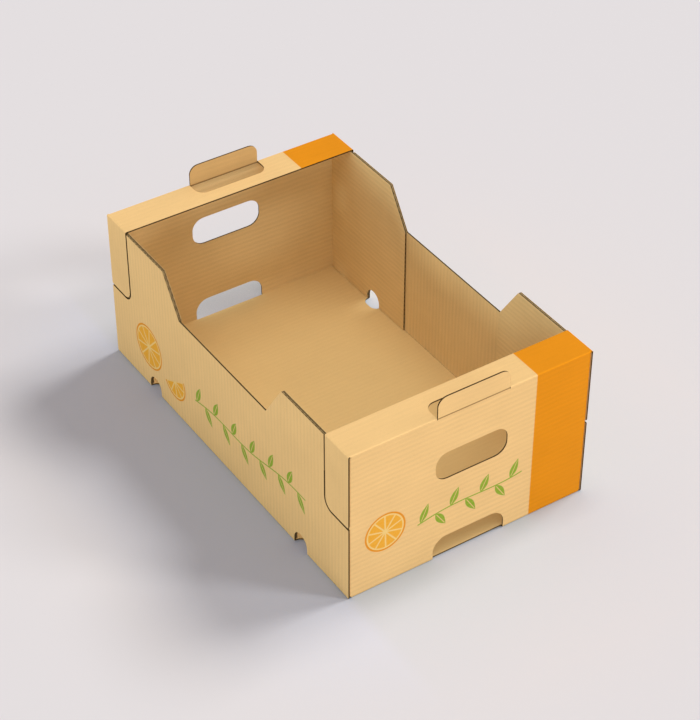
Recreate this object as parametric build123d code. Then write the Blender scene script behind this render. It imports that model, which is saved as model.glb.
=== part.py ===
from build123d import *
import os

os.makedirs("parts", exist_ok=True)

# Cardboard fruit tray, die-cut and folded from one sheet of single-wall corrugated board.
# Millimetres. X runs along the tray, Y across it, Z up. The origin is the middle of the underside.

# Outside sizes of the folded tray
LENGTH = 490.0        # over the end walls
WIDTH = 302.0         # over the long walls
HEIGHT = 194.0        # floor to the top of the ledges

# The board and the way it is cut, folded and joined
BOARD = 1.8           # thickness of the board
GLUE = 0.4            # glue line between two boards that lie together
FOLD = 1.5            # outside radius of a fold
CUT = 0.8             # width that a knife cut opens to
RELIEF = 0.5          # free gap at an edge that only butts against a panel
CREASE = 0.25         # depth of a pressed crease line
CREASE_WIDTH = 1.0

# Ledges, and the outer flaps that hang from their ends
LEDGE = 42.0          # depth of a ledge, from the outside of the end wall
FLAP_DROP = 95.0      # height of an outer flap, from the top of the ledge
FLAP_ROUND = 12.0     # lower corner of an outer flap towards the middle of the tray
FLAP_TIP = 2.5        # its lower corner towards the end of the tray
NOTCH_GAP = 2.6       # gap between an outer flap and the notch that it lies in

# Long walls: high shoulders near the ends and a low middle
SHOULDER_END = 121.5  # top corner of a shoulder, from the middle of the tray
SLOPE_FOOT = 90.0     # where the slope meets the low middle
LOW_WALL = 144.0      # height of the low middle
SHOULDER_ROUND = 2.0  # corners of the profile

# Hand hole in each end wall
HAND_WIDTH = 90.0
HAND_HEIGHT = 36.0
HAND_ROUND = 15.0
HAND_CENTRE = 125.5   # height of its middle

# Stacking tab on each end wall, and the slot that takes the tab of the tray below
TAB_WIDTH = 89.0
TAB_HEIGHT = 24.0     # above the top of the ledge
TAB_ROUND = 11.0
STACK_GAP = 1.0       # play of a tab in a slot, on each side
SLOT_SPARE = 3.0      # room over a tab in a slot

# Vents, each one hole over the crease between a long wall and the base
VENT_PLACE = 154.0    # from the middle of the tray
VENT_WIDTH = 25.0
VENT_RISE = 19.5      # up the long wall
VENT_REACH = 11.0     # into the base, from the outside of the long wall
VENT_ROUND = 9.0      # corners of the part in the base

# Glue areas stop short of the edges of a flap
GLUE_MARGIN = 9.0

# Planes that several panels share
END = LENGTH / 2                      # outside of an end wall
END_IN = END - BOARD
SIDE = WIDTH / 2                      # outside of a long wall
SIDE_IN = SIDE - BOARD
TUCK = SIDE_IN - GLUE                 # outside of an inner flap, and side of an end wall
TUCK_IN = TUCK - BOARD
LEDGE_IN = END - LEDGE
LEDGE_UNDER = HEIGHT - BOARD
SHOULDER = LEDGE_UNDER - RELIEF       # top of a shoulder, just under the ledge
FLAP_FOOT = HEIGHT - FLAP_DROP
NOTCH_FOOT = FLAP_FOOT - NOTCH_GAP
NOTCH_SIDE = LEDGE_IN - NOTCH_GAP
SLOT_WIDTH = TAB_WIDTH + 2 * STACK_GAP
SLOT_TOP = TAB_HEIGHT + SLOT_SPARE
OVER = 2.0                            # how far a cutter runs past a face


def block(x0, x1, y0, y1, z0, z1):
    """Box between two corners."""
    return Pos((x0 + x1) / 2, (y0 + y1) / 2, (z0 + z1) / 2) * Box(x1 - x0, y1 - y0, z1 - z0)


def plate_xz(face, y0, y1):
    """Upright plate of an X-Z outline, from y0 to y1."""
    return extrude(Plane((0, y0, 0), (1, 0, 0), (0, -1, 0)) * face, -(y1 - y0))


def plate_yz(face, x0, x1):
    """Upright plate of a Y-Z outline, from x0 to x1."""
    return extrude(Plane((x0, 0, 0), (0, 1, 0), (1, 0, 0)) * face, x1 - x0)


def plate_xy(face, z0, z1):
    """Level plate of an X-Y outline, from z0 to z1."""
    return extrude(Plane((0, 0, z0)) * face, z1 - z0)


def outline(points, rounds):
    """Closed outline whose corners are rounded where rounds gives a corner's number a radius."""
    face = make_face(Polyline(*points, close=True))
    for number, radius in rounds.items():
        face = fillet(face.vertices().sort_by_distance((*points[number], 0))[0], radius)
    return face


def both_ends(shape):
    """The shape at both ends of the tray."""
    return [shape, shape.mirror(Plane.YZ)]


def both_sides(shape):
    """The shape on both long sides of the tray."""
    return [shape, shape.mirror(Plane.XZ)]


def four_corners(shape):
    """The shape in all four corners of the tray."""
    return [part for end in both_ends(shape) for part in both_sides(end)]


def fold_cut(middle, out_a, out_b, length, over_b=OVER):
    """Cutter that rounds a fold: out_a and out_b point out of the two panels that meet in it."""
    plane = Plane(middle, out_a, Vector(out_a).cross(Vector(out_b)))
    corner = Pos((OVER - FOLD) / 2, (over_b - FOLD) / 2) * Rectangle(FOLD + OVER, FOLD + over_b)
    return extrude(plane * (corner - Pos(-FOLD, -FOLD) * Circle(FOLD)), length / 2, both=True)


def tab_outline(width, foot, top, radius):
    """Tab from foot up to top, with its two free corners rounded."""
    w = width / 2
    return outline([(-w, foot), (w, foot), (w, top), (-w, top)], {2: radius, 3: radius})


# Base
base = block(-END_IN, END_IN, -SIDE_IN, SIDE_IN, 0, BOARD)

# Long walls, outermost, with a notch at each end for the outer flaps
wall_face = outline(
    [(-END, 0), (END, 0), (END, NOTCH_FOOT), (NOTCH_SIDE, NOTCH_FOOT), (NOTCH_SIDE, SHOULDER),
     (SHOULDER_END, SHOULDER), (SLOPE_FOOT, LOW_WALL), (-SLOPE_FOOT, LOW_WALL), (-SHOULDER_END, SHOULDER),
     (-NOTCH_SIDE, SHOULDER), (-NOTCH_SIDE, NOTCH_FOOT), (-END, NOTCH_FOOT)],
    {3: FLAP_ROUND + NOTCH_GAP, 10: FLAP_ROUND + NOTCH_GAP,
     5: SHOULDER_ROUND, 6: SHOULDER_ROUND, 7: SHOULDER_ROUND, 8: SHOULDER_ROUND},
)
long_walls = both_sides(plate_xz(wall_face, SIDE_IN, SIDE))

# End walls, between the inner flaps that are folded from them
end_walls = both_ends(block(END_IN, END, -TUCK, TUCK, 0, HEIGHT))

# Inner flaps, glued to the inside of the long walls, with the same shoulder
inner_face = outline(
    [(END, BOARD + RELIEF), (END, SHOULDER), (SHOULDER_END, SHOULDER), (SLOPE_FOOT, LOW_WALL),
     (SLOPE_FOOT, BOARD + RELIEF)],
    {2: SHOULDER_ROUND},
)
inner_flaps = four_corners(plate_xz(inner_face, TUCK_IN, TUCK))

# Ledges, folded inwards from the tops of the end walls
ledges = both_ends(block(LEDGE_IN, END, -SIDE, SIDE, LEDGE_UNDER, HEIGHT))

# Outer flaps, folded down from the ends of the ledges and glued to the inner flaps
flap_face = outline(
    [(LEDGE_IN, HEIGHT), (END, HEIGHT), (END, FLAP_FOOT), (LEDGE_IN, FLAP_FOOT)],
    {2: FLAP_TIP, 3: FLAP_ROUND},
)
outer_flaps = four_corners(plate_xz(flap_face, SIDE_IN, SIDE))

# Glue between the inner flaps and the long walls, and between the outer and the inner flaps
wall_glue = block(SHOULDER_END + GLUE_MARGIN, NOTCH_SIDE - GLUE_MARGIN, TUCK, SIDE_IN,
                  VENT_RISE + GLUE_MARGIN, SHOULDER - GLUE_MARGIN)
flap_glue = block(LEDGE_IN + GLUE_MARGIN, END_IN - GLUE_MARGIN, TUCK, SIDE_IN,
                  FLAP_FOOT + GLUE_MARGIN, SHOULDER - GLUE_MARGIN)
glue = four_corners(wall_glue) + four_corners(flap_glue)

tray = base + long_walls + end_walls + inner_flaps + ledges + outer_flaps + glue

# Knife cuts at the foot of each corner, so that every wall has a fold of its own
tray -= four_corners(block(END_IN - GLUE, END + OVER, TUCK, SIDE_IN, -OVER, BOARD + RELIEF))

# Rounded folds
east, north, up, down = (1, 0, 0), (0, 1, 0), (0, 0, 1), (0, 0, -1)
tray -= both_sides(fold_cut((0, SIDE, 0), north, down, LENGTH + 2 * OVER))
tray -= both_ends(fold_cut((END, 0, 0), east, down, 2 * TUCK))
tray -= both_ends(fold_cut((END, 0, HEIGHT), east, up, 2 * TUCK))
tray -= four_corners(fold_cut((END - LEDGE / 2, SIDE, HEIGHT), north, up, LEDGE + 2 * OVER))
tray -= four_corners(fold_cut((END, TUCK, LEDGE_UNDER / 2), east, north, LEDGE_UNDER, GLUE / 2))

# Stacking tabs: each stays upright in the plane of its end wall and leaves a hole in the ledge
hole_face = tab_outline(TAB_WIDTH + 2 * CUT, 0, TAB_HEIGHT, TAB_ROUND + CUT)
hole_face = Pos(END, 0) * Rot(0, 0, 90) * hole_face
tray -= both_ends(plate_xy(hole_face, LEDGE_UNDER - RELIEF, HEIGHT + OVER))
tab_face = tab_outline(TAB_WIDTH, LEDGE_UNDER - BOARD, HEIGHT + TAB_HEIGHT, TAB_ROUND)
tray += both_ends(plate_yz(tab_face, END_IN, END))

# Crease across both faces of a tab's foot
crease_z = HEIGHT - BOARD / 2
for x0, x1 in ((END - CREASE, END + OVER), (END_IN - OVER, END_IN + CREASE)):
    tray -= both_ends(block(x0, x1, -TAB_WIDTH / 2, TAB_WIDTH / 2,
                            crease_z - CREASE_WIDTH / 2, crease_z + CREASE_WIDTH / 2))

# Hand holes
hand_face = Pos(0, HAND_CENTRE) * RectangleRounded(HAND_WIDTH, HAND_HEIGHT, HAND_ROUND)
tray -= both_ends(plate_yz(hand_face, END_IN - OVER, END + OVER))

# Slots for the tabs of the tray below, cut through the fold up to the edge of the base
slot_face = tab_outline(SLOT_WIDTH, -OVER, SLOT_TOP, TAB_ROUND)
tray -= both_ends(plate_yz(slot_face, END_IN - STACK_GAP, END + OVER))

# Vents
vent_face = Pos(VENT_PLACE, VENT_RISE - VENT_WIDTH / 2) * Circle(VENT_WIDTH / 2)
vent_face += Pos(VENT_PLACE, (BOARD + VENT_RISE - VENT_WIDTH / 2) / 2) * Rectangle(
    VENT_WIDTH, VENT_RISE - VENT_WIDTH / 2 - BOARD)
tray -= four_corners(plate_xz(vent_face, TUCK_IN - OVER, SIDE + OVER))
foot_face = Pos(VENT_PLACE, SIDE) * RectangleRounded(VENT_WIDTH, 2 * VENT_REACH, VENT_ROUND)
tray -= four_corners(plate_xy(foot_face, -OVER, BOARD + RELIEF))

tray = tray.solid()
export_step(tray, "parts/tray.step")
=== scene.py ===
import math
from functools import partial

import bpy
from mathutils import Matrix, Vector, noise


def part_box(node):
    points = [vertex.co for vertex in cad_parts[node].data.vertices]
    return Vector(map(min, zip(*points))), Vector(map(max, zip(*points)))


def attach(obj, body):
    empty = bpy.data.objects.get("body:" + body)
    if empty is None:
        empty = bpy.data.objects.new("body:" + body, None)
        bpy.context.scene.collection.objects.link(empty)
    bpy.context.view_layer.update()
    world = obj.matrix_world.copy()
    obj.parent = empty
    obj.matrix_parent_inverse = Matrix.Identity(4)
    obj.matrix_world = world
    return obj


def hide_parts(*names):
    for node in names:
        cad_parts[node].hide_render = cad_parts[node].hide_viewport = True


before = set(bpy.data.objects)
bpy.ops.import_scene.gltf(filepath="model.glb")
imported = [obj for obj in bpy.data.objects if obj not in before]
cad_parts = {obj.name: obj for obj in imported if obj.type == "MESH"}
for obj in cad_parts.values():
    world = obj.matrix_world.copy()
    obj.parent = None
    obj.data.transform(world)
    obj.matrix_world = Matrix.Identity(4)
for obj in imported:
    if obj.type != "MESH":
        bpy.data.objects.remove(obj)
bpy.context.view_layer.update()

# Cardboard fruit tray: one sheet of single-wall corrugated board, cut and folded. The board is built as its
# three papers, an outer liner, an inner liner and the fluting between them, from one flat blank that is
# folded by formula. X runs along the tray, Y across it, Z up. Lengths of the tray are in millimetres.
MM = 0.001
low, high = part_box("tray")

# Outside sizes
TAB_HEIGHT = 24.0
LENGTH = (high.x - low.x) / MM
WIDTH = (high.y - low.y) / MM
HEIGHT = (high.z - low.z) / MM - TAB_HEIGHT

# The board and the way it is cut, folded and joined
BOARD = 1.8
GLUE = 0.4
FOLD = 1.5
CUT = 0.8
RELIEF = 0.5
CREASE = 0.25
CREASE_REACH = FOLD - BOARD / 2    # half width of a pressed crease
CREASE_SHADE_WIDTH = 1.7                  # width of the painted shade line along a crease
CREASE_EDGE = 0.2                  # soft edge of that line

# Ledges and outer flaps
LEDGE = 42.0
FLAP_DROP = 95.0
FLAP_ROUND = 12.0
FLAP_TIP = 2.5
NOTCH_GAP = 2.6

# Long walls
SHOULDER_END = 121.5
SLOPE_FOOT = 90.0
LOW_WALL = 144.0
SHOULDER_ROUND = 2.0

# Hand holes, stacking tabs, slots and vents
HAND_WIDTH = 90.0
HAND_HEIGHT = 36.0
HAND_ROUND = 15.0
HAND_CENTRE = 125.5
TAB_WIDTH = 89.0
TAB_ROUND = 11.0
STACK_GAP = 1.0
SLOT_SPARE = 3.0
SLOT_ROUND = 17.0
VENT_PLACE = 154.0
VENT_WIDTH = 25.0
VENT_RISE = 19.5
VENT_REACH = 11.0
VENT_ROUND = 9.0

# The papers: thicknesses are shares of the board
FLUTE_PITCH = 6.3
FLUTE_STEPS = 8
LINER = 0.15
PAPER = 0.045
FLUTE_FREE = 0.003    # gap between the fluting and a liner
FLUTE_SWING = 0.5 - LINER - PAPER - FLUTE_FREE
WASHBOARD = 0.13      # depth in millimetres to which a liner sinks between two flutes
WASH_PATCH = 60.0     # size of the patches in which the washboard is stronger or weaker
WASH_MEAN = 0.75      # share of that depth in a middling patch
WASH_SPREAD = 0.5     # how far that share goes up and down
WASH_SEED = 7.0
LEDGE_CALM = 0.7      # share of the washboard and of its painted light and shade stripes that the ledges and tabs lack

# The mesh: steps of its curves, and how exactly its points and stations are told apart, in millimetres
FOLD_STEPS = 6
FOLD_ROWS = 4
ROUND_STEPS = 5
STEP_CLEAR = 0.25     # share of a flute's step that stays free round a mark
SHARP_ANGLE = 35.0    # degrees
POINT_DIGITS = 3
STATION_DIGITS = 4
STATION_SLACK = 1e-4
PINCH = 1e-4          # points of a paper closer than this are one

# Flat map of each paper for textures: scale to the unit square, and height of the middle
FACE_MAP = (0.001, 0.36)
HIDDEN_MAP = (0.0003, 0.85)
HALF_MAPS = ((0.0007, 0.25), (0.0007, 0.75))
MAP_MIDDLE = 0.5      # middle of every map along the blank
TAB_SQUEEZE = 0.95    # keeps a tab clear of the ledge on that map

# Print, in millimetres on the wall that carries it. Slices: left, height, radius, spin and whether it is a
# half. Rows of leaves: left, height, rise in degrees and number of leaves.
FIELD_EDGE = 79.5
INK_EDGE = 0.35
SEGMENTS = 10
RIND = 2.2
PITH = 1.8
LEAF_PITCH = 19.0
LEAF_LENGTH = 24.0
LEAF_WIDTH = 8.0
LEAF_TILT = 62.0
LEAF_SHIFT = 0.3      # how far a leaf's foot lies before the middle of its pitch, in pitches
LEAF_FULL = 1.15      # fullness of a leaf at the middle of its length
LEAF_TAPER = 0.3      # how much fuller it is at its foot, and leaner at its tip
LEAF_LIMIT = 1.4      # place past the tip, in half lengths, beyond which the leaf's formula stops
MIDRIB = 0.8
MIDRIB_REACH = 0.8    # share of a leaf that its midrib covers
MIDRIB_END = 0.1
STEM = 1.6
STEM_WAVE = 152.0
STEM_SWING = 3.0
LONG_SLICES = ((-165.0, 58.0, 29.0, 12.0, False), (-108.0, 47.0, 24.0, 28.0, True))
LONG_ROWS = ((-62.0, 52.0, 6.0, 12),)
END_SLICES = ((-106.0, 72.0, 25.0, 20.0, False),)
END_ROWS = ((-66.0, 60.0, 5.0, 7),)

# Colours, linear
KRAFT_OUTER = (0.82, 0.53, 0.225, 1.0)
KRAFT_INNER = (0.765, 0.55, 0.265, 1.0)
# Painted shade: the base is painted darker and warmer than the inner walls
KRAFT_BASE_SHADED = (0.74, 0.507, 0.215, 1.0)
# Painted shade: the inner face of the tabs is painted browner
KRAFT_TAB_SHADED = (0.65, 0.41, 0.165, 1.0)
# Raw brown of the fluting and of cut edges, with painted shade of the open flutes
KRAFT_RAW_AND_SHADE = (0.10, 0.058, 0.02, 1.0)
# The same with less painted shade, where two boards lie together
KRAFT_PAIR = (0.45, 0.29, 0.12, 1.0)
# Painted shade on the inner flaps, which show only in the gaps between boards
TUCK_SHADE = (0.10, 0.06, 0.022, 1.0)
# Dark fibre flecks, also used for the painted shade line of the tab creases
FLECK_AND_CREASE_SHADE = (0.30, 0.17, 0.06, 1.0)
ORANGE = (0.75, 0.262, 0.005, 1.0)
PITH_TINT = (0.86, 0.60, 0.22, 1.0)
PULP_TINT = (0.83, 0.38, 0.03, 1.0)
GREEN = (0.24, 0.37, 0.025, 1.0)

# Shares and strengths of these colours
RIM_SHADE = 0.8       # raw brown with painted shade on the cut edge of a paper
PAIR_SHADE = 0.1      # the same where two boards lie together
# Share of the painted shade on the inner flaps
TUCK_SHADE_COVER = 0.8
# Share of the painted shade line on the tab creases
CREASE_SHADE_COVER = 0.85
INK_COVER = 0.95
INK_WEAR = 0.35
# Strength of the painted highlight over the folds
FOLD_HIGHLIGHT = 0.06
OUTER_FLECKS = 0.35
INNER_FLECKS = 0.45
# Stripes: painted light and shade of the washboard over the flutes; the ink's stripe is its uneven cover
# there
OUTER_STRIPE = 0.032
FIELD_STRIPE = 0.02
INK_STRIPE = 0.03
INNER_STRIPE = 0.04
BASE_STRIPE = 0.01
OUTER_TONE = 1.0
INNER_TONE = 1.2
BASE_TONE = 0.5
RAW_TONE = 1.5

# Grain of the papers. Each kind has the length of its spots along the blank, their width across it, its
# detail and its seed. Each paper adds a seed of its own.
TONE_GRAINS = (                             # with the strength of each
    ((70.0, 60.0, 2.0, 0.0), 0.14),         # clouds
    ((2.6, 45.0, 2.0, 3.0), 0.09),          # streaks along the flutes
    ((4.0, 0.4, 2.0, 5.0), 0.09),           # fibres along the blank
    ((0.4, 4.0, 2.0, 9.0), 0.09),           # fibres across it
)
# Grain of the painted washboard stripes
STRIPE_GRAIN = (60.0, 90.0, 1.0, 2.0)
STRIPE_LEAST = 0.2    # strength of a stripe where it is weakest
STRIPE_SPREAD = 1.2   # how much stronger it gets
DRIFT_GRAIN = (24.0, 30.0, 1.0, 62.0)
STRIPE_DRIFT = 2.4    # how far a stripe wanders off its flute
FLECK_GRAIN = (1.5, 0.5, 1.0, 31.0)
FLECK_LEVEL = 0.735   # grain above which there is a fleck
FLECK_EDGE = 0.02
WEAR_GRAIN = (2.2, 1.6, 4.0, 41.0)
FUZZ_GRAIN = (1.4, 0.35, 3.0, 21.0)
FUZZ_STRENGTH = 0.25
FUZZ_DEPTH = 0.00025  # metres
FUZZ_ROUGHNESS = 0.12
OUTER_SEED = 0.0
INNER_SEED = 50.0
RAW_SEED = 100.0
OUTER_ROUGHNESS = 0.68
INNER_ROUGHNESS = 0.74
RAW_ROUGHNESS = 0.8
PAPER_SHEEN = 0.1

# Places of a colour mix among the sockets of its node
MIX_SHARE, MIX_FIRST, MIX_SECOND = 0, 6, 7
MIX_RESULT = 2

# Studio, in metres. The floor is painted cooler close to the tray, to take off the tray's warm glow, and
# painted with shade before its near end wall and behind its far slot.
FLOOR_TINT = (0.775, 0.737, 0.745, 1.0)     # what the camera sees past the floor
FLOOR_PAPER = (0.728, 0.70, 0.745, 1.0)
FLOOR_ROUGHNESS = 0.9
FLOOR_SHEEN = 0.1
FLOOR_REACH = 9.0
GLOW_REACH = 0.2
GLOW_TINT = (0.62, 0.9, 1.1, 1.0)
SHADE_TINT = (0.75, 1.06, 1.55, 1.0)        # the same on the shaded side
CONTACT_REACH = 0.04
CONTACT_SHADE_TINT = (0.5, 0.5, 0.5, 1.0)
SLOT_SHADE_TINT = (0.5, 0.5, 0.47, 1.0)
SLOT_SHADE_REACH = 0.06
SLOT_SHADE_HALF = 0.11
TINT_EDGE = 0.01                            # soft edge of such a part of the floor
TINT_SAMPLES = 4
SHADE_LENGTH = 0.2                          # sides of the part of the floor that its lamps leave out
SHADE_FRONT = -0.176
SHADE_BACK = 0.14
SKY = 0.45
SKY_TINT = (1.0, 1.0, 1.0, 1.0)

# Lamps: azimuth, elevation, strength, angle across and colour
WHITE_LAMP = (1.0, 1.0, 1.0)
WARM_LAMP = (1.0, 0.98, 0.9)
COOL_LAMP = (0.84, 1.0, 1.0)
FLOOR_LIGHTS = (
    (180.0, 47.0, 2.06, 26.0, WARM_LAMP),
    (136.0, 29.0, 0.88, 12.0, WARM_LAMP),
)
TRAY_LIGHTS = (
    (60.0, 80.0, 1.42, 60.0, WHITE_LAMP),
    (180.0, 20.0, 1.6, 40.0, WHITE_LAMP),
    (85.0, 1.0, 1.5, 16.0, WHITE_LAMP),
    (355.0, 1.0, 1.0, 16.0, COOL_LAMP),
)

# Camera: place in metres, azimuth and elevation of its view, and lens and sensor in millimetres
CAMERA_PLACE = (1.5712, -1.0225, 1.6007)
CAMERA_VIEW = (56.626, 38.988)
CAMERA_LENS = 109.19
CAMERA_SENSOR = 36.0

# Planes that several panels share
END = LENGTH / 2
END_IN = END - BOARD
SIDE = WIDTH / 2
TUCK = SIDE - BOARD - GLUE
LEDGE_IN = END - LEDGE
SHOULDER = HEIGHT - BOARD - RELIEF
TUCK_FOOT = BOARD + RELIEF
NOTCH_FOOT = HEIGHT - FLAP_DROP - NOTCH_GAP
NOTCH_SIDE = LEDGE_IN - NOTCH_GAP
NOTCH_ROUND = FLAP_ROUND + NOTCH_GAP
SLOT_HALF = TAB_WIDTH / 2 + STACK_GAP
SLOT_TOP = TAB_HEIGHT + SLOT_SPARE
SLOT_EDGE = END_IN - STACK_GAP
CORNER_CUT = END_IN - GLUE
HOLE_HALF = TAB_WIDTH / 2 + CUT
HOLE_EDGE = END - TAB_HEIGHT
CREASE_HEIGHT = HEIGHT - BOARD / 2

# Stations along the blank, from the middle of the base over the end wall to the edge of the ledge
ARC = FOLD * math.pi / 2
FOOT_START = END - FOLD
WALL_START = FOOT_START + ARC
WALL_STOP = WALL_START + HEIGHT - 2 * FOLD
LEDGE_START = WALL_STOP + ARC
LEDGE_STOP = LEDGE_START + LEDGE - FOLD

# Stations across the blank: where the two kinds of side fold start and stop
SIDE_START = SIDE - FOLD
SIDE_STOP = SIDE_START + ARC
TUCK_START = TUCK - FOLD
TUCK_STOP = TUCK_START + ARC
FOLD_HIGHLIGHT_HALF = ARC / 3    # half width of the painted highlight over a fold


def at_height(z):
    """Station along the blank of a height on the end wall."""
    return WALL_START + z - FOLD


def height_at(s):
    return s - WALL_START + FOLD


def at_ledge(x):
    """Station along the blank of a place on the ledge."""
    return LEDGE_START + END - FOLD - x


def ledge_at(s):
    return END - FOLD - (s - LEDGE_START)


def up_side(d):
    """Station across the blank of a height on a long wall, or of a drop on an outer flap."""
    return SIDE_STOP + d - FOLD


def up_tuck(d):
    """Station across the blank of a reach along an inner flap, from the outside of the end wall."""
    return TUCK_STOP + d - FOLD


def floor_spine(s):
    """Outer point, inward normal and inner point of the base, in X and Z."""
    return (s, 0.0), (0.0, 1.0), (min(s, END_IN), BOARD)


def end_spine(s):
    """The same from the base over the end wall to the ledge."""
    if s <= WALL_START:
        turn = max(0.0, s - FOOT_START) / FOLD
        outer = (FOOT_START + FOLD * math.sin(turn), FOLD - FOLD * math.cos(turn))
        return outer, (-math.sin(turn), math.cos(turn)), (END_IN, BOARD)
    if s <= WALL_STOP:
        z = height_at(s)
        return (END, z), (-1.0, 0.0), (END_IN, min(max(z, BOARD), HEIGHT - BOARD))
    if s < LEDGE_START:
        turn = (s - WALL_STOP) / FOLD
        outer = (FOOT_START + FOLD * math.cos(turn), HEIGHT - FOLD + FOLD * math.sin(turn))
        return outer, (-math.cos(turn), -math.sin(turn)), (END_IN, HEIGHT - BOARD)
    x = ledge_at(s)
    return (x, HEIGHT), (0.0, -1.0), (min(x, END_IN), HEIGHT - BOARD)


def ledge_spine(s):
    """The same along the end of a ledge, which is cut free from the end wall."""
    x = ledge_at(s)
    return (x, HEIGHT), (0.0, -1.0), (x, HEIGHT - BOARD)


def tab_spine(s):
    """The same up a stacking tab, with the pressed crease at its foot."""
    z = height_at(s)
    dent = CREASE * max(0.0, 1 - abs(z - CREASE_HEIGHT) / CREASE_REACH)
    return (END - dent, z), (-1.0, 0.0), (END_IN + dent, z)


def folded(spine, fold_at):
    """Maker of the outer and inner point for a place on the blank. The side fold's outside is at fold_at."""
    start = fold_at - FOLD
    stop = start + ARC

    def place(s, v):
        outer, normal, inner = spine(s)
        if v <= start:
            y_in = min(v, fold_at - BOARD)
            return (outer[0], v, outer[1]), (inner[0], y_in, inner[1])
        if v < stop:
            turn = (v - start) / FOLD
            y_out, d_out, d_in = start + FOLD * math.sin(turn), FOLD - FOLD * math.cos(turn), BOARD
        else:
            y_out, d_out = fold_at, FOLD + v - stop
            d_in = max(d_out, BOARD)
        far = (outer[0] + normal[0] * d_out, y_out, outer[1] + normal[1] * d_out)
        near = (outer[0] + normal[0] * d_in, fold_at - BOARD, outer[1] + normal[1] * d_in)
        return far, near

    return place


def bulge(radius, offset):
    """Half chord of a circle at a distance from its centre."""
    return math.sqrt(max(0.0, radius ** 2 - offset ** 2))


# Slope of a shoulder, and where its two rounded corners start and stop
SLOPE = math.atan2(SHOULDER - LOW_WALL, SHOULDER_END - SLOPE_FOOT)
SLOPE_TANGENT = SHOULDER_ROUND * math.tan(SLOPE / 2)
LOW_ROUND = (SLOPE_FOOT - SLOPE_TANGENT, SLOPE_FOOT + SLOPE_TANGENT * math.cos(SLOPE))
HIGH_ROUND = (SHOULDER_END - SLOPE_TANGENT * math.cos(SLOPE), SHOULDER_END + SLOPE_TANGENT)
HIGH_ROUND_FOOT = SHOULDER - SLOPE_TANGENT * math.sin(SLOPE)


def wall_top(x):
    """Height of a long wall's top edge inside the notch."""
    if x <= LOW_ROUND[0]:
        return LOW_WALL
    if x < LOW_ROUND[1]:
        return LOW_WALL + SHOULDER_ROUND - bulge(SHOULDER_ROUND, x - LOW_ROUND[0])
    if x <= HIGH_ROUND[0]:
        return LOW_WALL + (x - SLOPE_FOOT) * math.tan(SLOPE)
    if x < HIGH_ROUND[1]:
        return SHOULDER - SHOULDER_ROUND + bulge(SHOULDER_ROUND, HIGH_ROUND[1] - x)
    return SHOULDER


def notch_top(x):
    """Height of a long wall under an outer flap."""
    middle = NOTCH_SIDE + NOTCH_ROUND
    if x >= middle:
        return NOTCH_FOOT
    return NOTCH_FOOT + NOTCH_ROUND - bulge(NOTCH_ROUND, middle - x)


def flap_reach(z):
    """Reach of an inner flap's free edge at a height."""
    if z <= LOW_WALL:
        return END - SLOPE_FOOT
    if z <= HIGH_ROUND_FOOT:
        return END - SLOPE_FOOT - (z - LOW_WALL) / math.tan(SLOPE)
    return END - HIGH_ROUND[1] + bulge(SHOULDER_ROUND, z - SHOULDER + SHOULDER_ROUND)


def flap_drop(x):
    """Drop of an outer flap's lower edge."""
    if x < LEDGE_IN + FLAP_ROUND:
        return FLAP_DROP - FLAP_ROUND + bulge(FLAP_ROUND, LEDGE_IN + FLAP_ROUND - x)
    if x > END - FLAP_TIP:
        return FLAP_DROP - FLAP_TIP + bulge(FLAP_TIP, x - END + FLAP_TIP)
    return FLAP_DROP


def vent_arch(x):
    """Height of a vent's arch in a long wall."""
    return VENT_RISE - VENT_WIDTH / 2 + bulge(VENT_WIDTH / 2, x - VENT_PLACE)


def vent_half(z):
    """Half width of a vent at a height."""
    return bulge(VENT_WIDTH / 2, max(0.0, z - VENT_RISE + VENT_WIDTH / 2))


def vent_recess(x):
    """Edge of a vent in the base."""
    beyond = max(0.0, abs(x - VENT_PLACE) - VENT_WIDTH / 2 + VENT_ROUND)
    return min(SIDE_START, SIDE - VENT_REACH + VENT_ROUND - bulge(VENT_ROUND, beyond))


def round_half(half, radius, depth):
    """Half width of a rounded opening at a depth from its edge."""
    return half - radius + bulge(radius, max(0.0, radius - depth))


def hand_half(z):
    return round_half(HAND_WIDTH / 2, HAND_ROUND, HAND_HEIGHT / 2 - abs(z - HAND_CENTRE))


def slot_half(z):
    return round_half(SLOT_HALF, SLOT_ROUND, SLOT_TOP - z)


def tab_half(z):
    return round_half(TAB_WIDTH / 2, TAB_ROUND, HEIGHT + TAB_HEIGHT - z)


def hole_half(x):
    return round_half(HOLE_HALF, TAB_ROUND + CUT, x - HOLE_EDGE)


def round_steps(start, stop):
    """Stations of a rounded corner, closer together towards start, where its edge runs along the flutes."""
    return [start + (stop - start) * (step / ROUND_STEPS) ** 2 for step in range(ROUND_STEPS + 1)]


def stations(start, stop, marks):
    """Columns from start to stop: the marks, and the steps of the flutes between them."""
    marks = sorted({round(mark, STATION_DIGITS) for mark in marks + [start, stop] if start <= mark <= stop})
    step = FLUTE_PITCH / FLUTE_STEPS
    found = list(marks)
    for number in range(math.ceil(start / step), math.floor(stop / step) + 1):
        if min(abs(number * step - mark) for mark in marks) > step * STEP_CLEAR:
            found.append(round(number * step, STATION_DIGITS))
    return sorted(found)


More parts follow.
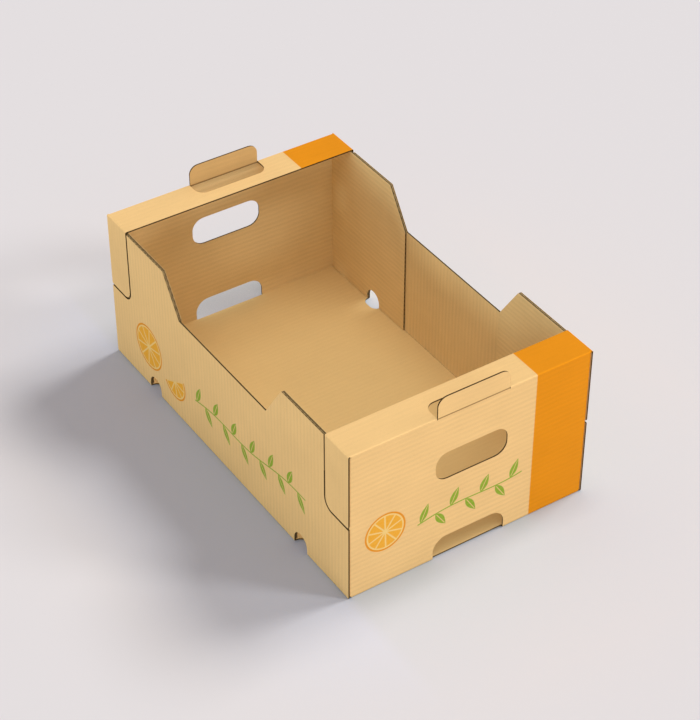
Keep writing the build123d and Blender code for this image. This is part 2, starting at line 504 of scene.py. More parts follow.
class Blank:
    """A quarter of the flat blank, as cells between neighbouring columns."""

    def __init__(self):
        self.cells = []
        self.lines = {}

    def corner(self, spine, place, s, v):
        """Keeps a corner of a cell and gives its key: spine, column and place across the blank."""
        column, across = round(s, POINT_DIGITS), round(v, POINT_DIGITS)
        self.lines.setdefault((spine, column), {})[across] = (place, s, v)
        return spine, column, across

    def band(self, spine, place, columns, span, edges, rows=1):
        """Cells of the columns in span, between the two edges, each a number or a formula of the column."""
        inside = [s for s in columns if span[0] - STATION_SLACK <= s <= span[1] + STATION_SLACK]
        bottom, top = [edge if callable(edge) else (lambda s, edge=edge: edge) for edge in edges]
        for left, right in zip(inside, inside[1:]):
            ends = [(s, bottom(s), top(s)) for s in (left, right)]
            for row in range(rows):
                corners = []
                for end, level in ((0, row), (1, row), (1, row + 1), (0, row + 1)):
                    s, v0, v1 = ends[end]
                    corners.append(self.corner(spine, place, s, v0 + (v1 - v0) * level / rows))
                if corners[0] != corners[3] or corners[1] != corners[2]:
                    self.cells.append(corners)

    def outlines(self):
        """Each cell's corners, with its neighbours' corners that lie on its sides, so that no crack opens."""
        ordered = {key: sorted(line) for key, line in self.lines.items()}
        for a, b, c, d in self.cells:
            right = [v for v in ordered[b[:2]] if b[2] < v < c[2]]
            left = [v for v in ordered[a[:2]] if a[2] < v < d[2]]
            ring = [a, b] + [(*b[:2], v) for v in right] + [c, d] + [(*a[:2], v) for v in reversed(left)]
            yield [(key[0], *self.lines[key[:2]][key[2]]) for key in dict.fromkeys(ring)]


def quarter_blank():
    """The quarter of the blank with positive X and Y."""
    blank = Blank()
    vent_from, vent_to = VENT_PLACE - VENT_WIDTH / 2, VENT_PLACE + VENT_WIDTH / 2
    hand_foot, hand_top = HAND_CENTRE - HAND_HEIGHT / 2, HAND_CENTRE + HAND_HEIGHT / 2
    tab_top = HEIGHT + TAB_HEIGHT

    # Columns of the base and long wall
    floor_marks = [CORNER_CUT, SLOT_EDGE, FOOT_START]
    for start, stop in ((vent_from, VENT_PLACE), (vent_to, VENT_PLACE), LOW_ROUND, HIGH_ROUND,
                        (NOTCH_SIDE, NOTCH_SIDE + NOTCH_ROUND)):
        floor_marks += round_steps(start, stop)
    floor = stations(0.0, END, floor_marks)

    # Columns of the end wall, inner flap and ledge
    wall_marks = [TUCK_FOOT, LOW_WALL]
    for start, stop in ((SLOT_TOP, SLOT_TOP - SLOT_ROUND), (hand_foot, hand_foot + HAND_ROUND),
                        (hand_top, hand_top - HAND_ROUND), (VENT_RISE, VENT_RISE - VENT_WIDTH / 2),
                        (SHOULDER, HIGH_ROUND_FOOT)):
        wall_marks += round_steps(start, stop)
    ledge_marks = round_steps(HOLE_EDGE, HOLE_EDGE + TAB_ROUND + CUT)
    ledge_marks += round_steps(LEDGE_IN, LEDGE_IN + FLAP_ROUND)
    turns = [ARC * step / FOLD_STEPS for step in range(FOLD_STEPS + 1)]
    end_marks = [start + turn for start in (FOOT_START, WALL_STOP) for turn in turns]
    end_marks += [at_height(z) for z in wall_marks] + [at_ledge(x) for x in ledge_marks]
    end = stations(FOOT_START, LEDGE_STOP, end_marks)

    # Columns of the ledge's end and outer flap, and of the tab
    strip = {at_ledge(x) for x in round_steps(END, END - FLAP_TIP) + [FOOT_START]}
    strip = sorted(strip | {s for s in end if s > LEDGE_START})
    tab_marks = [CREASE_HEIGHT - CREASE_REACH, CREASE_HEIGHT, CREASE_HEIGHT + CREASE_REACH]
    tab_marks += round_steps(tab_top, tab_top - TAB_ROUND)
    tab = stations(WALL_STOP, at_height(tab_top), [at_height(z) for z in tab_marks])

    # Panels that share a spine, a side fold and columns
    on_base = partial(blank.band, "floor", folded(floor_spine, SIDE), floor)
    on_wall = partial(blank.band, "end", folded(end_spine, TUCK), end)
    on_ledge = partial(blank.band, "end", folded(end_spine, SIDE), end)
    on_flap = partial(blank.band, "strip", folded(ledge_spine, SIDE), strip)
    on_tab = partial(blank.band, "tab", folded(tab_spine, SIDE), tab)

    # Base, with the edges of the slots and of the vents
    deep = SIDE - VENT_REACH
    on_base((0, SLOT_EDGE), (0, SLOT_HALF))
    on_base((0, FOOT_START), (SLOT_HALF, deep), rows=3)
    on_base((0, CORNER_CUT), (deep, vent_recess))
    on_base((CORNER_CUT, FOOT_START), (deep, TUCK_START))

    # Long wall with its fold
    over_vents, notch_foot = up_side(VENT_RISE + BOARD), up_side(NOTCH_FOOT)
    for span in ((0, vent_from), (vent_to, END)):
        on_base(span, (SIDE_START, SIDE_STOP), rows=FOLD_ROWS)
        on_base(span, (SIDE_STOP, over_vents))
    on_base((vent_from, vent_to), (lambda x: up_side(vent_arch(x)), over_vents))
    on_base((0, END), (over_vents, notch_foot), rows=2)
    on_base((0, NOTCH_SIDE), (notch_foot, lambda x: up_side(wall_top(x))), rows=2)
    on_base((NOTCH_SIDE, NOTCH_SIDE + NOTCH_ROUND), (notch_foot, lambda x: up_side(notch_top(x))))

    # Fold between the base and the end wall
    on_wall((FOOT_START, WALL_START), (SLOT_HALF, deep), rows=3)
    on_wall((FOOT_START, WALL_START), (deep, TUCK_START))

    # End wall round its slot and its hand hole
    middle = SLOT_HALF + STACK_GAP
    slot_stop, shoulder = at_height(SLOT_TOP), at_height(SHOULDER)
    hand = (at_height(hand_foot), at_height(hand_top))
    on_wall((WALL_START, slot_stop), (lambda s: slot_half(height_at(s)), middle))
    for span in ((slot_stop, hand[0]), (hand[1], shoulder)):
        on_wall(span, (0, middle), rows=2)
    on_wall(hand, (lambda s: hand_half(height_at(s)), middle))
    on_wall((WALL_START, WALL_STOP), (middle, TUCK_START), rows=2)
    on_wall((shoulder, WALL_STOP), (0, TAB_WIDTH / 2), rows=2)
    on_wall((shoulder, WALL_STOP), (HOLE_HALF, middle))

    # Inner flap with its fold, round the vent
    tuck_foot, vent_stop = at_height(TUCK_FOOT), at_height(VENT_RISE)
    vent_reach = END - VENT_PLACE
    before_vent, past_vent = up_tuck(vent_reach - VENT_WIDTH), up_tuck(vent_reach + VENT_WIDTH)
    on_wall((tuck_foot, shoulder), (TUCK_START, TUCK_STOP), rows=FOLD_ROWS)
    on_wall((tuck_foot, shoulder), (TUCK_STOP, before_vent))
    on_wall((tuck_foot, vent_stop), (before_vent, lambda s: up_tuck(vent_reach - vent_half(height_at(s)))))
    on_wall((tuck_foot, vent_stop), (lambda s: up_tuck(vent_reach + vent_half(height_at(s))), past_vent))
    on_wall((vent_stop, shoulder), (before_vent, past_vent))
    on_wall((tuck_foot, shoulder), (past_vent, lambda s: up_tuck(flap_reach(height_at(s)))))

    # Stacking tab
    on_tab((WALL_STOP, at_height(tab_top)), (0, lambda s: tab_half(height_at(s))), rows=2)

    # Ledge with its fold and its hole
    hole_stop = at_ledge(HOLE_EDGE)
    on_ledge((WALL_STOP, LEDGE_START), (HOLE_HALF, middle))
    on_ledge((LEDGE_START, hole_stop), (lambda s: hole_half(ledge_at(s)), middle))
    on_ledge((hole_stop, LEDGE_STOP), (0, middle), rows=2)
    on_ledge((WALL_STOP, LEDGE_STOP), (middle, TUCK), rows=2)

    # End of the ledge and the outer flap
    whole = (at_ledge(END), LEDGE_STOP)
    on_flap(whole, (TUCK, SIDE_START))
    on_flap(whole, (SIDE_START, SIDE_STOP), rows=FOLD_ROWS)
    on_flap(whole, (SIDE_STOP, lambda s: up_side(flap_drop(ledge_at(s)))), rows=3)
    return blank


class Board:
    """The folded board: welded points with an outer, an inner and a flat place, and faces between them."""

    def __init__(self, blank):
        self.number = {}
        self.outer, self.inner, self.flat = [], [], []
        self.faces = []
        for ring in blank.outlines():
            for sign_x in (1, -1):
                for sign_y in (1, -1):
                    face = [self.point(*corner, sign_x, sign_y) for corner in ring]
                    face = list(dict.fromkeys(face))
                    if len(face) > 2:
                        self.faces.append(face if sign_x == sign_y else face[::-1])
        sides = {(a, b) for face in self.faces for a, b in zip(face, face[1:] + face[:1])}
        self.edges = sorted((a, b) for a, b in sides if (b, a) not in sides)

    def point(self, spine, place, s, v, sign_x, sign_y):
        outer, inner = [Vector((p[0] * sign_x, p[1] * sign_y, p[2])) for p in place(s, v)]
        # Adding 0.0 makes one key of 0.0 and -0.0
        key = tuple(round(value, POINT_DIGITS) + 0.0 for value in (*outer, *inner))
        if key not in self.number:
            self.number[key] = len(self.outer)
            self.outer.append(outer)
            self.inner.append(inner)
            if spine == "tab":
                s = WALL_STOP + (s - WALL_STOP) * TAB_SQUEEZE
            self.flat.append(Vector((s * sign_x, v * sign_y)))
        return self.number[key]


def wash_depth(s, v, side):
    """How far a liner sinks between its flutes: side is 1 for the outer liner and -1 for the inner one."""
    wave = (1 + side * math.cos(2 * math.pi * s / FLUTE_PITCH)) / 2
    patch = noise.noise(Vector((s / WASH_PATCH, v / WASH_PATCH, side * WASH_SEED)))
    on_ledge = min(max((abs(s) - WALL_STOP) / ARC, 0.0), 1.0)
    return WASHBOARD * wave * (WASH_MEAN + WASH_SPREAD * patch) * (1 - LEDGE_CALM * on_ledge)


def outer_liner(s, v):
    sink = wash_depth(s, v, 1) / BOARD
    return sink, LINER + sink


def inner_liner(s, v):
    sink = wash_depth(s, v, -1) / BOARD
    return 1 - LINER - sink, 1 - sink


def fluting(s, v):
    middle = 0.5 + FLUTE_SWING * math.cos(2 * math.pi * s / FLUTE_PITCH)
    return middle - PAPER, middle + PAPER


def welded(board, places):
    """For each point of the board, the point that stands for it where a fold pinches several into one."""
    stands = list(range(len(places)))

    def root(n):
        while stands[n] != n:
            n = stands[n]
        return n

    for face in board.faces:
        for a, b in zip(face, face[1:] + face[:1]):
            if (places[a] - places[b]).length < PINCH:
                stands[max(root(a), root(b))] = min(root(a), root(b))
    return [root(n) for n in range(len(places))]


def rim_shade(flat):
    """Share of the raw brown with painted shade on a cut edge at a place on the blank."""
    s, v = abs(flat.x), abs(flat.y)
    shoulder = SLOPE_FOOT < s < NOTCH_SIDE and v > up_side(LOW_WALL)
    inner_flap = WALL_START < s < WALL_STOP and v > TUCK_STOP
    return PAIR_SHADE if shoulder or inner_flap else RIM_SHADE


def paper_piece(name, board, layer, maps, material):
    """One paper of the board as a closed thin shell. maps has the flat map of each of its two sides."""
    count = len(board.outer)
    sheets = [[], []]
    for outer, inner, flat in zip(board.outer, board.inner, board.flat):
        for sheet, share in zip(sheets, layer(*flat)):
            sheet.append(outer + (inner - outer) * share)
    stands = [welded(board, sheet) for sheet in sheets]
    # The front of the paper has the larger map
    front = 0 if maps[0][0] >= maps[1][0] else 1
    faces, flats, laid, raw_shade = [], [], [], []

    def add(corners, shade_share):
        """A face whose corners have a sheet, a point and a step off the blank's edge on the map."""
        kept, seen = [], set()
        for sheet, n, step in corners:
            vertex = stands[sheet][n] + sheet * count
            if vertex not in seen:
                seen.add(vertex)
                kept.append((vertex, sheet, board.flat[n], step))
        if len(kept) > 2:
            faces.append([vertex for vertex, sheet, flat, step in kept])
            raw_shade.append(float(shade_share))
            for vertex, sheet, flat, step in kept:
                scale, middle = maps[sheet]
                flats.append(flat * MM)
                laid.append((flat + step) * scale + Vector((MAP_MIDDLE, middle)))

    still = Vector((0.0, 0.0))
    # The side of a paper that lies inside the board gets the full share of painted shade
    for face in board.faces:
        add([(0, n, still) for n in reversed(face)], front != 0)
        add([(1, n, still) for n in face], front != 1)
    # Cut edges, which lie along the front's outline on its map, each with its share of painted shade
    rim = PAPER * 2 * BOARD
    for a, b in board.edges:
        along = (board.flat[b] - board.flat[a]).normalized()
        out = Vector((along.y, -along.x)) * rim
        steps = (still, out) if front == 0 else (out, still)
        add([(1, b, steps[1]), (1, a, steps[1]), (0, a, steps[0]), (0, b, steps[0])],
            rim_shade((board.flat[a] + board.flat[b]) / 2))

    used = sorted({vertex for face in faces for vertex in face})
    number = {vertex: order for order, vertex in enumerate(used)}
    points = [(sheets[vertex // count][vertex % count]) * MM for vertex in used]
    data = bpy.data.meshes.new(name)
    data.from_pydata(points, [], [[number[vertex] for vertex in face] for face in faces])
    for title, places in (("blank", flats), ("OFBake", laid)):
        layer_map = data.uv_layers.new(name=title)
        layer_map.uv.foreach_set("vector", [value for place in places for value in place])
    data.attributes.new("raw_shade", "FLOAT", "FACE").data.foreach_set("value", raw_shade)
    data.shade_smooth()
    data.set_sharp_from_angle(angle=math.radians(SHARP_ANGLE))
    data.materials.append(material)
    piece = bpy.data.objects.new(name, data)
    bpy.context.scene.collection.objects.link(piece)
    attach(piece, "root")
    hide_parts("tray")
    return piece


class Term:
    """A number that a material's nodes work out, for use in formulas."""

    def __init__(self, paint, socket):
        self.paint, self.socket = paint, socket

    def __add__(self, other):
        return self.paint.math("ADD", self, other)

    def __sub__(self, other):
        return self.paint.math("SUBTRACT", self, other)

    def __rsub__(self, other):
        return self.paint.math("SUBTRACT", other, self)

    def __mul__(self, other):
        return self.paint.math("MULTIPLY", self, other)

    def __abs__(self):
        return self.paint.math("ABSOLUTE", self)

    __radd__ = __add__
    __rmul__ = __mul__


class Paint:
    """The nodes of one material."""

    def __init__(self, name):
        self.material = bpy.data.materials.new(name)
        self.material.use_nodes = True
        self.tree = self.material.node_tree
        self.shader = self.tree.nodes["Principled BSDF"]

    def put(self, socket, value):
        if isinstance(value, Term):
            self.tree.links.new(value.socket, socket)
        else:
            socket.default_value = value

    def node(self, kind, inputs, output=0, **settings):
        made = self.tree.nodes.new(kind)
        for name, value in settings.items():
            setattr(made, name, value)
        for place, value in inputs.items():
            self.put(made.inputs[place], value)
        return Term(self, made.outputs[output])

    def math(self, operation, *values):
        return self.node("ShaderNodeMath", dict(enumerate(values)), operation=operation)

    def flat_place(self):
        """Station along and across the flat blank, in millimetres."""
        place = self.node("ShaderNodeUVMap", {}, uv_map="blank")
        parts = self.tree.nodes.new("ShaderNodeSeparateXYZ")
        self.tree.links.new(place.socket, parts.inputs[0])
        return [Term(self, parts.outputs[n]) * (1 / MM) for n in (0, 1)]

    def grain(self, s, v, kind, seed=0.0):
        """Noise from 0 to 1, of a kind of grain."""
        length, width, detail, own_seed = kind
        inputs = {0: s * (1 / length), 1: v * (1 / width), 2: own_seed + seed}
        where = self.node("ShaderNodeCombineXYZ", inputs)
        return self.node("ShaderNodeTexNoise", {"Vector": where, "Scale": 1.0, "Detail": detail}, "Fac")

    def inside(self, distance, soft):
        """1 where the distance is below 0, with a soft edge."""
        inputs = {"Value": distance, "From Min": soft, "From Max": -soft}
        return self.node("ShaderNodeMapRange", inputs, interpolation_type="SMOOTHSTEP")

    def span(self, value, start, stop):
        """1 where the value lies between start and stop, with the edge of a print."""
        return self.inside(start - value, INK_EDGE) * self.inside(value - stop, INK_EDGE)

    def mix(self, share, first, second, blend="MIX"):
        """A share of the second colour on the first."""
        inputs = {MIX_SHARE: share, MIX_FIRST: first, MIX_SECOND: second}
        return self.node("ShaderNodeMix", inputs, MIX_RESULT, data_type="RGBA", blend_type=blend)

    def shade(self, colour, factor):
        """A colour times a number."""
        grey = self.node("ShaderNodeCombineColor", {0: factor, 1: factor, 2: factor})
        return self.mix(1.0, colour, grey, "MULTIPLY")


def kraft_tone(paint, s, v, strength, seed):
    """Brightness of unprinted paper round 1: clouds, streaks along the flutes and fine fibres."""
    grains = [(paint.grain(s, v, kind, seed) - 0.5) * amount for kind, amount in TONE_GRAINS]
    return 1.0 + strength * sum(grains, 0.0)


def raw_and_shaded_paper(paint, colour, s, v):
    """A colour with the raw brown and painted shade of cut edges and of the sides that lie inside the board.
    """
    raw_shade = paint.node("ShaderNodeAttribute", {}, "Fac", attribute_name="raw_shade")
    return paint.mix(raw_shade, colour, paint.shade(KRAFT_RAW_AND_SHADE, kraft_tone(paint, s, v, RAW_TONE, RAW_SEED)))


def fold_highlight_and_stretch(paint, s, v):
    """Share of the painted highlight over the folds of the end walls, the ledges and the outer flaps, where
    the stretched liner is also paler.
    """
    top = paint.inside(abs(abs(s) - WALL_STOP - ARC / 2) - FOLD_HIGHLIGHT_HALF, FOLD_HIGHLIGHT_HALF)
    flap = paint.inside(abs(abs(v) - SIDE_START - ARC / 2) - FOLD_HIGHLIGHT_HALF, FOLD_HIGHLIGHT_HALF)
    return paint.math("MAXIMUM", top, flap * paint.inside(LEDGE_START - abs(s), INK_EDGE))


def tab_crease_shade(paint, s, v):
    """Share of the painted shade line along the pressed crease across the foot of a tab."""
    place = WALL_STOP + (CREASE_HEIGHT - HEIGHT + FOLD) * TAB_SQUEEZE
    line = paint.inside(abs(abs(s) - place) - CREASE_SHADE_WIDTH / 2, CREASE_EDGE)
    return line * paint.inside(abs(v) - TAB_WIDTH / 2, CREASE_EDGE)


def flute_band(paint, s, v, side, seed):
    """Soft stripe over each flute, from -1 to 1, that wanders a little and fades in and out: painted light
    and shade of the washboard.
    """
    drift = (paint.grain(s, v, DRIFT_GRAIN, seed) - 0.5) * STRIPE_DRIFT
    wave = paint.math("COSINE", (s + drift) * (2 * math.pi / FLUTE_PITCH)) * float(-side)
    calm = 1.0 - LEDGE_CALM * paint.inside(WALL_STOP + ARC / 2 - abs(s), ARC / 2)
    return wave * calm * (paint.grain(s, v, STRIPE_GRAIN, seed) * STRIPE_SPREAD + STRIPE_LEAST)


def flecks(paint, s, v, seed):
    """Sparse short dark fibres."""
    return paint.inside(FLECK_LEVEL - paint.grain(s, v, FLECK_GRAIN, seed), FLECK_EDGE)


def finish_paper(paint, s, v, roughness):
    """Matt fibrous surface."""
    fuzz = paint.grain(s, v, FUZZ_GRAIN)
    bump = paint.node("ShaderNodeBump", {"Strength": FUZZ_STRENGTH, "Distance": FUZZ_DEPTH, "Height": fuzz})
    paint.put(paint.shader.inputs["Normal"], bump)
    paint.put(paint.shader.inputs["Roughness"], roughness + fuzz * FUZZ_ROUGHNESS)
    paint.shader.inputs["Specular IOR Level"].default_value = PAPER_SHEEN
    return paint.material


def turned(x, y, angle):
    """Coordinates in axes that are turned by an angle in degrees."""
    c, s = math.cos(math.radians(angle)), math.sin(math.radians(angle))
    return x * c + y * s, y * c - x * s


def fruit_slice(paint, x, y, radius, spin, half):
    """Shares of rind, pith and pulp of a round or half-round fruit slice about the origin."""
    x, y = turned(x, y, spin)
    reach = paint.math("SQRT", x * x + y * y)
    turn = paint.math("ARCTAN2", y, x) * (SEGMENTS / (2 * math.pi)) + SEGMENTS / 2
    border = 0.5 - abs(paint.math("FRACT", turn) - 0.5)
    gap = border * reach * (2 * math.pi / SEGMENTS)
    disc = paint.inside(reach - radius, INK_EDGE)
    pith = paint.inside(reach - radius + RIND, INK_EDGE)
    pulp = paint.inside(reach - radius + RIND + PITH, INK_EDGE)
    pulp = pulp * paint.inside(PITH / 2 - gap, INK_EDGE) * paint.inside(PITH - reach, INK_EDGE)
    if half:
        kept = paint.inside(y, INK_EDGE)
        disc, pith, pulp = disc * kept, pith * kept, pulp * paint.inside(y + PITH / 2, INK_EDGE)
    return disc, pith, pulp


def leaf_row(paint, x, y, count):
    """Share of ink of a stem along X with leaves on alternate sides, whose midribs stay bare."""
    y = y - paint.math("SINE", x * (2 * math.pi / STEM_WAVE)) * STEM_SWING
    cell = paint.math("FLOOR", x * (1 / LEAF_PITCH))
    side = 1.0 - 2.0 * paint.math("FLOORED_MODULO", cell, 2.0)
    along = x - (cell + 0.5) * LEAF_PITCH + LEAF_PITCH * LEAF_SHIFT
    q, w = turned(along, y * side, LEAF_TILT)
    t = paint.math("MINIMUM", q * (2 / LEAF_LENGTH) - 1.0, LEAF_LIMIT)
    edge = (1.0 - t * t) * (LEAF_WIDTH / 2) * (LEAF_FULL - LEAF_TAPER * t)
    leaf = paint.inside(abs(w) - edge, INK_EDGE)
    rib = paint.inside(abs(w) - MIDRIB / 2, INK_EDGE) * paint.inside(abs(t) - MIDRIB_REACH, MIDRIB_END)
    stem = paint.inside(abs(y) - STEM / 2, INK_EDGE)
    length = count * LEAF_PITCH
    kept = paint.inside(abs(x - length / 2) - length / 2, INK_EDGE)
    return paint.math("MAXIMUM", leaf * (1.0 - rib), stem) * kept


def printed_walls(paint, colour, s, v, ink):
    """A colour with the fruit slices and rows of leaves of the long walls and end walls on it."""
    long_wall = paint.inside(SIDE_STOP - abs(v), INK_EDGE) * paint.inside(abs(s) - END, INK_EDGE)
    long_place = (0.0 - s * paint.math("SIGN", v), abs(v) - (SIDE_STOP - FOLD))
    end_wall = paint.inside(abs(v) - TUCK_START, INK_EDGE) * paint.span(abs(s), WALL_START, WALL_STOP)
    end_place = (v * paint.math("SIGN", s), abs(s) - (WALL_START - FOLD))
    for shown, (x, z), slices, rows in ((long_wall, long_place, LONG_SLICES, LONG_ROWS),
                                        (end_wall, end_place, END_SLICES, END_ROWS)):
        for left, height, radius, spin, half in slices:
            parts = fruit_slice(paint, x - left, z - height, radius, spin, half)
            for part, tint in zip(parts, (ORANGE, PITH_TINT, PULP_TINT)):
                colour = paint.mix(part * shown * ink, colour, tint)
        for left, height, rise, count in rows:
            leaves = leaf_row(paint, *turned(x - left, z - height, rise), count)
            colour = paint.mix(leaves * shown * ink, colour, GREEN)
    return colour


def printed_kraft():
    """The outer liner: kraft paper printed with an orange field, fruit slices and rows of leaves."""
    paint = Paint("kraft_printed")
    s, v = paint.flat_place()
    # The tone has a painted highlight over the folds
    tone = kraft_tone(paint, s, v, OUTER_TONE, OUTER_SEED) + fold_highlight_and_stretch(paint, s, v) * FOLD_HIGHLIGHT
    # Painted light and shade of the washboard, as stripes over the flutes
    band = flute_band(paint, s, v, 1, OUTER_SEED)
    colour = paint.shade(KRAFT_OUTER, tone + band * OUTER_STRIPE)
    colour = paint.mix(flecks(paint, s, v, OUTER_SEED) * OUTER_FLECKS, colour, FLECK_AND_CREASE_SHADE)

    # Inner flaps have no print, and are painted dark as the shade in the gaps where they show between boards
    tucked = paint.inside(TUCK_STOP + GLUE - abs(v), INK_EDGE) * paint.span(abs(s), WALL_START, WALL_STOP)
    colour = paint.mix(tucked * TUCK_SHADE_COVER, colour, TUCK_SHADE)

    # Orange field at one side of the end walls and ledges
    field = paint.inside(FIELD_EDGE - v, INK_EDGE) * paint.inside(FOOT_START + ARC / 2 - abs(s), INK_EDGE)
    colour = paint.mix(field * (1.0 - tucked), colour, paint.shade(ORANGE, tone + band * FIELD_STRIPE))

    worn = paint.grain(s, v, WEAR_GRAIN, OUTER_SEED)
    ink = paint.math("MINIMUM", INK_COVER + (worn - 0.5) * INK_WEAR + band * INK_STRIPE, 1.0)
    colour = printed_walls(paint, colour, s, v, ink)
    # Painted shade line along the tab crease
    colour = paint.mix(tab_crease_shade(paint, s, v) * CREASE_SHADE_COVER, colour, FLECK_AND_CREASE_SHADE)
    paint.put(paint.shader.inputs["Base Color"], raw_and_shaded_paper(paint, colour, s, v))
    return finish_paper(paint, s, v, OUTER_ROUGHNESS)


def plain_kraft():
    """The inner liner: unprinted kraft paper, calmer on the base, with painted shade that makes the base
    darker and warmer and the tabs browner.
    """
    paint = Paint("kraft_plain")
    s, v = paint.flat_place()
    # The base's own colour holds painted shade, darker than the walls
    on_base = paint.inside(abs(s) - FOOT_START, FOLD) * paint.inside(abs(v) - SIDE_START, FOLD)
    # Painted shade on the inner face of the tabs
    on_tab = paint.inside(WALL_STOP - abs(s), INK_EDGE)
    on_tab = on_tab * paint.inside(abs(v) - TAB_WIDTH / 2 - CUT / 2, CUT / 4)
    tone = kraft_tone(paint, s, v, INNER_TONE - (INNER_TONE - BASE_TONE) * on_base, INNER_SEED)
    # Painted light and shade of the washboard, as stripes over the flutes
    band = flute_band(paint, s, v, -1, INNER_SEED)
    stripe = band * (INNER_STRIPE - (INNER_STRIPE - BASE_STRIPE) * on_base)
    colour = paint.mix(on_tab, paint.mix(on_base, KRAFT_INNER, KRAFT_BASE_SHADED), KRAFT_TAB_SHADED)
    colour = paint.shade(colour, tone + stripe)
    colour = paint.mix(flecks(paint, s, v, INNER_SEED) * INNER_FLECKS, colour, FLECK_AND_CREASE_SHADE)
    # Painted shade line along the tab crease
    colour = paint.mix(tab_crease_shade(paint, s, v) * CREASE_SHADE_COVER, colour, FLECK_AND_CREASE_SHADE)
    paint.put(paint.shader.inputs["Base Color"], raw_and_shaded_paper(paint, colour, s, v))
    return finish_paper(paint, s, v, INNER_ROUGHNESS)


def fluting_paper():
    """The fluting: darker recycled paper with painted shade of its open flutes, with less of that shade where
    two boards lie together.
    """
    paint = Paint("kraft_fluting")
    s, v = paint.flat_place()
    shoulder = paint.span(abs(s), SLOPE_FOOT, NOTCH_SIDE) * paint.inside(up_side(LOW_WALL) - abs(v), INK_EDGE)
    inner_flap = paint.span(abs(s), WALL_START, WALL_STOP) * paint.inside(TUCK_STOP - abs(v), INK_EDGE)
    colour = paint.mix(paint.math("MAXIMUM", shoulder, inner_flap), KRAFT_RAW_AND_SHADE, KRAFT_PAIR)
    colour = paint.shade(colour, kraft_tone(paint, s, v, RAW_TONE, RAW_SEED))
    paint.put(paint.shader.inputs["Base Color"], colour)
    return finish_paper(paint, s, v, RAW_ROUGHNESS)


board = Board(quarter_blank())
papers = [
    paper_piece("board_outer_liner", board, outer_liner, (FACE_MAP, HIDDEN_MAP), printed_kraft()),
    paper_piece("board_inner_liner", board, inner_liner, (HIDDEN_MAP, FACE_MAP), plain_kraft()),
    paper_piece("board_fluting", board, fluting, HALF_MAPS, fluting_paper()),
]


def floor_paper():
    """Pale studio floor with painted shade and a painted cool tint, by how much of its view the tray shuts
    off.
    """
    paint = Paint("floor")
    position = paint.node("ShaderNodeNewGeometry", {}, "Position")
    x, y = [paint.node("ShaderNodeSeparateXYZ", {0: position}, n) for n in (0, 1)]
    end, side = END * MM, SIDE * MM
    # Painted shade before the near end wall and behind the far slot, and a painted cool tint against the
    # tray's warm glow
    before = paint.inside(end - x, CONTACT_REACH)
    behind = paint.inside(x + end, TINT_EDGE) * paint.inside(abs(y) - SLOT_SHADE_HALF, TINT_EDGE)
    behind = behind * paint.inside(-end - SLOT_SHADE_REACH - x, TINT_EDGE)
    glow = paint.mix(paint.inside(y + side, TINT_EDGE), GLOW_TINT, SHADE_TINT)
    colour = FLOOR_PAPER
    for reach, tint, share in ((CONTACT_REACH, CONTACT_SHADE_TINT, before), (GLOW_REACH, SLOT_SHADE_TINT, behind),
                               (GLOW_REACH, glow, 1.0)):
        inputs = {"Distance": reach}
        open_share = paint.node("ShaderNodeAmbientOcclusion", inputs, "AO", samples=TINT_SAMPLES)
        colour = paint.mix((1.0 - open_share) * share, colour, tint, "MULTIPLY")
    paint.put(paint.shader.inputs["Base Color"], colour)
    paint.shader.inputs["Roughness"].default_value = FLOOR_ROUGHNESS
    paint.shader.inputs["Specular IOR Level"].default_value = FLOOR_SHEEN
    return paint.material


def floor_piece(name, points, faces, material):
    mesh = bpy.data.meshes.new(name)
    mesh.from_pydata([(x, y, 0.0) for x, y in points], [], faces)
    mesh.materials.append(material)
    piece = bpy.data.objects.new(name, mesh)
    bpy.context.scene.collection.objects.link(piece)
    return piece


def rectangle(x0, x1, y0, y1):
    return [(x0, y0), (x1, y0), (x1, y1), (x0, y1)]


# Floor in two pieces. Its lamps leave out the one under the tray and along its shaded side.
floor_material = floor_paper()
under = rectangle(-SHADE_LENGTH, SHADE_LENGTH, SHADE_FRONT, SHADE_BACK)
around = rectangle(-FLOOR_REACH, FLOOR_REACH, -FLOOR_REACH, FLOOR_REACH)
frame_faces = [(n, (n + 1) % 4, (n + 1) % 4 + 4, n + 4) for n in range(4)]
floor = floor_piece("floor", around + under, frame_faces, floor_material)
floor_piece("floor_under_tray", under, [(0, 1, 2, 3)], floor_material)

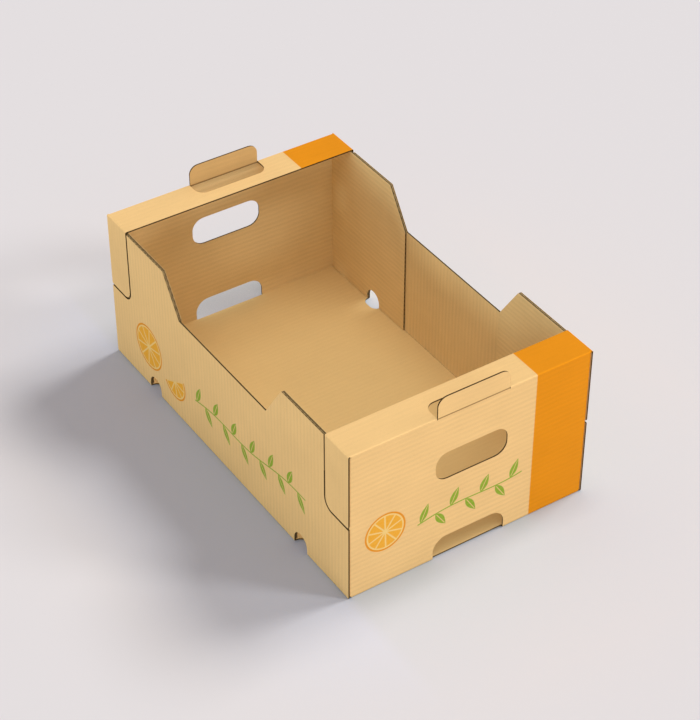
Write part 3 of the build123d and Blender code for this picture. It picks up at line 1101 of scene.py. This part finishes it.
# Sky: white for the light that it gives, and with the floor's tint where the camera sees it
world = bpy.data.worlds.new("studio")
world.use_nodes = True
nodes = world.node_tree.nodes
sky = nodes["Background"]
sky.inputs["Color"].default_value = SKY_TINT
sky.inputs["Strength"].default_value = SKY
seen_sky = nodes.new("ShaderNodeBackground")
seen_sky.inputs["Color"].default_value = FLOOR_TINT
either_sky = nodes.new("ShaderNodeMixShader")
ray = nodes.new("ShaderNodeLightPath")
for start, stop in ((ray.outputs["Is Camera Ray"], either_sky.inputs[0]),
                    (sky.outputs[0], either_sky.inputs[1]),
                    (seen_sky.outputs[0], either_sky.inputs[2]),
                    (either_sky.outputs[0], nodes["World Output"].inputs["Surface"])):
    world.node_tree.links.new(start, stop)
bpy.context.scene.world = world


def direction(azimuth, elevation):
    """Unit vector from the tray towards a place in the sky. Azimuth 0 is -Y, and 90 is +X."""
    a, e = math.radians(azimuth), math.radians(elevation)
    return Vector((math.sin(a) * math.cos(e), -math.cos(a) * math.cos(e), math.sin(e)))


def soft_sun(name, azimuth, elevation, strength, angle, colour, lit):
    """A broad distant lamp on the objects in lit."""
    lamp = bpy.data.lights.new(name, "SUN")
    lamp.energy = strength
    lamp.angle = math.radians(angle)
    lamp.color = colour
    holder = bpy.data.objects.new(name, lamp)
    holder.rotation_euler = direction(azimuth, elevation).to_track_quat("Z", "Y").to_euler()
    bpy.context.scene.collection.objects.link(holder)
    group = bpy.data.collections.new(name + "_lit")
    for thing in lit:
        group.objects.link(thing)
    holder.light_linking.receiver_collection = group


# Lamps
for number, lamp in enumerate(FLOOR_LIGHTS):
    soft_sun(f"floor_light_{number}", *lamp, [floor])
for number, lamp in enumerate(TRAY_LIGHTS):
    soft_sun(f"tray_light_{number}", *lamp, papers)

# Camera
camera_data = bpy.data.cameras.new("camera")
camera_data.lens = CAMERA_LENS
camera_data.sensor_width = CAMERA_SENSOR
camera = bpy.data.objects.new("camera", camera_data)
camera.location = CAMERA_PLACE
camera.rotation_euler = direction(*CAMERA_VIEW).to_track_quat("Z", "Y").to_euler()
bpy.context.scene.collection.objects.link(camera)
bpy.context.scene.camera = camera
bpy.context.scene.view_settings.view_transform = "Standard"
